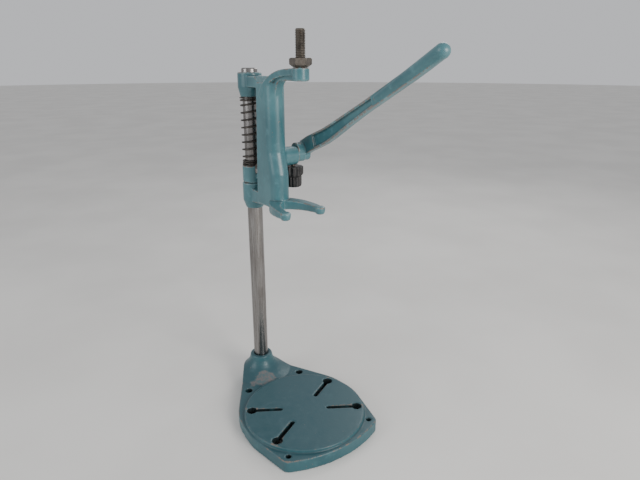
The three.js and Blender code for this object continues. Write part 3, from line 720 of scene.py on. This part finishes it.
def coil_spring(finish):
    """A round wire wound on a helix, with closed turns at both ends and evenly open ones between."""
    low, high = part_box("return_spring")
    start, end = low.z + WIRE_RADIUS, high.z - WIRE_RADIUS
    turns = LOW_TURNS + OPEN_TURNS + HIGH_TURNS
    open_rise = end - start - (LOW_TURNS + HIGH_TURNS) * CLOSED_PITCH
    turn = np.linspace(0, turns, int(turns * STEPS_PER_TURN))
    share = np.clip((turn - LOW_TURNS) / OPEN_TURNS, 0, 1)
    angle = COIL_START + turn * 2 * math.pi
    height = start + (turn - share * OPEN_TURNS) * CLOSED_PITCH + share * open_rise
    path = np.stack([COIL_RADIUS * np.cos(angle), COLUMN_Y + COIL_RADIUS * np.sin(angle), height], 1)
    along = np.gradient(path, axis=0)
    along /= np.linalg.norm(along, axis=1)[:, None]
    outward = np.stack([np.cos(angle), np.sin(angle), np.zeros_like(angle)], 1)
    across = np.cross(along, outward)
    around = np.linspace(0, 2 * math.pi, WIRE_SIDES, endpoint=False)
    rows = path[:, None] + WIRE_RADIUS * (
        np.cos(around)[None, :, None] * outward[:, None] + np.sin(around)[None, :, None] * across[:, None]
    )
    piece = skin("coil_spring", rows)
    settle(piece, "return_spring", finish, crease=60)
    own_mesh(piece)


def shouldered_shaft(finish):
    low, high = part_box("lever_shaft")
    shoulder, r, end = 38.7 * MM, 8 * MM, 6 * MM
    chamfer, end_chamfer = 0.8 * MM, 1 * MM
    centre_drilling = [(1.6 * MM, high.x), (1.2 * MM, high.x - 1.5 * MM), (0.2 * MM, high.x - 2 * MM)]
    outline = rounded(
        [(CORE, low.x), (r - chamfer, low.x), (r, low.x + chamfer), (r, shoulder), (end, shoulder),
         (end, high.x - end_chamfer), (end - end_chamfer, high.x)] + centre_drilling,
        0.3 * MM,
    )
    piece = skin("shouldered_shaft", turned_rows(outline, 64))
    settle(lay_along(piece, (0, SHAFT_Y, SHAFT_Z), (1, 0, 0)), "lever_shaft", finish, crease=35)


# ---------------------------------------------------------------- build
LABEL_PATCH = ((-17 * MM, 112 * MM, 24 * MM), (38 * MM, 21 * MM, 24 * MM))
WEB_CHIP = ((-10.3 * MM, 79 * MM, 477 * MM), (6 * MM, 6 * MM, 10 * MM))

steel = dark_steel("oxidised_steel")
spring_steel = dark_steel("spring_steel", linear(72, 68, 64), linear(44, 43, 42), 0.15)
stud_steel = dark_steel("stud_steel", linear(112, 106, 98), linear(76, 72, 68), 0.25)
bar = bright_bar("drawn_bar")
plated = zinc("plated_steel")
plastic = black_plastic("moulded_black")

base_enamel = enamel("base_enamel", patch=LABEL_PATCH, top_shade=0.62, gloss=0.1)
base = casting("base_casting", "base_cast", 1.15 * MM, 9, base_enamel)
clear_socket(base)
darken_openings(base)
carriage_enamel = enamel("carriage_enamel", wear=0.9, chips=[WEB_CHIP])
casting("carriage_casting", "carriage_cast", 0.85 * MM, 9, carriage_enamel)
casting("clamp_ring", "ring_cast", 0.7 * MM, 7, enamel("ring_enamel"))
casting("lever_arm", "lever_cast", 0.75 * MM, 9, enamel("lever_enamel", wear=1.5))
casting("feed_crank", "crank_forging", 0.6 * MM, 5, steel)

column_bar(bar)
threaded_stud(stud_steel)
stud_nut(stud_steel)
coil_spring(spring_steel)
shouldered_shaft(bar)

set_screw(steel)
clamp_bolt(steel)
lock_wheel(plastic)
lock_knob(plastic)

for node, name, broken_edge, finish in (
    ("ring_clamp_washer", "clamp_washer", 0.25 * MM, plated),
    ("ring_clamp_nut", "clamp_nut", 0.35 * MM, steel),
    ("link_pin", "link_pin_fine", 0.5 * MM, bar),
    ("link_pin_clip_left", "clip_left", 0.15 * MM, steel),
    ("link_pin_clip_right", "clip_right", 0.15 * MM, steel),
    ("spring_washer_lower", "washer_lower", 0.25 * MM, spring_steel),
    ("spring_washer_upper", "washer_upper", 0.25 * MM, spring_steel),
    ("feed_lock_screw", "lock_screw", 0.4 * MM, steel),
    ("lever_roll_pin", "lever_pin", 0.4 * MM, steel),
    ("crank_roll_pin", "crank_pin", 0.4 * MM, steel),
):
    machined(node, name, broken_edge, finish)


# ---------------------------------------------------------------- stage
FLOOR_RADII, FLOOR_SIDES = (0.01, 0.6, 2, 6, 14), 96
FLOOR_DROP = 0.4 * MM


def floor():
    """A round floor just below the base, in rings that widen outwards."""
    f = Finish("pale_floor")
    tone = f.between(f.noise(3, 3, 0.5), 0.3, 0.7)
    paper = f.done(f.mix(tone, linear(214, 212, 208), linear(222, 220, 216)), 0.85)
    angles = np.linspace(0, 2 * math.pi, FLOOR_SIDES, endpoint=False)
    vertices = np.concatenate([ring_of(angles, radius, 0) for radius in FLOOR_RADII])
    faces = []
    for inner in range(0, len(vertices) - FLOOR_SIDES, FLOOR_SIDES):
        outer = inner + FLOOR_SIDES
        for i in range(FLOOR_SIDES):
            j = (i + 1) % FLOOR_SIDES
            faces.append((inner + i, outer + i, outer + j, inner + j))
    faces.append(tuple(range(FLOOR_SIDES)))
    plane = new_piece("studio_floor", vertices, faces)
    plane.data.materials.append(paper)
    plane.location.z = -FLOOR_DROP


LIT_POINT = Vector((0, 0.05, 0.3))


def aim(thing, place, target):
    """Puts a light or camera at a place, turned to look at its target."""
    thing.location = place
    thing.rotation_euler = (target - place).to_track_quat("-Z", "Y").to_euler()


def soft_light(name, azimuth, elevation, distance, size, power, tint):
    """A square light that looks at the stand's middle. Its azimuth, from -Y towards +X, is in degrees."""
    a, e = math.radians(azimuth), math.radians(elevation)
    away = Vector((math.sin(a) * math.cos(e), -math.cos(a) * math.cos(e), math.sin(e)))
    light = bpy.data.lights.new(name, "AREA")
    light.energy = power
    light.size = size
    light.color = tint
    aim(add_object(name, light), LIT_POINT + distance * away, LIT_POINT)


def daylight(colour=(0.80, 0.81, 0.84, 1), strength=0.78):
    """An even, slightly cool light from all round."""
    world = bpy.data.worlds.new("studio")
    world.use_nodes = True
    background = world.node_tree.nodes["Background"]
    background.inputs["Color"].default_value = colour
    background.inputs["Strength"].default_value = strength
    bpy.context.scene.world = world


CAMERA_PLACE = Vector((-0.3734, -0.6076, 0.5656))
CAMERA_TARGET = Vector((0.0211, -0.01405, 0.3175))
SENSOR_WIDTH, FOCAL_LENGTH = 36, 29.08


def camera():
    lens = bpy.data.cameras.new("camera")
    lens.sensor_width = SENSOR_WIDTH
    lens.lens = FOCAL_LENGTH
    lens.clip_start = 0.01
    eye = add_object("camera", lens)
    aim(eye, CAMERA_PLACE, CAMERA_TARGET)
    bpy.context.scene.camera = eye


floor()
daylight()
soft_light("key", 10, 18, 1.7, 0.7, 22, (1.0, 0.98, 0.95))
soft_light("fill", -95, 18, 1.9, 1.0, 11, (0.95, 0.98, 1.0))
soft_light("rim", 120, 35, 1.8, 0.8, 7, (1.0, 1.0, 1.0))
camera()
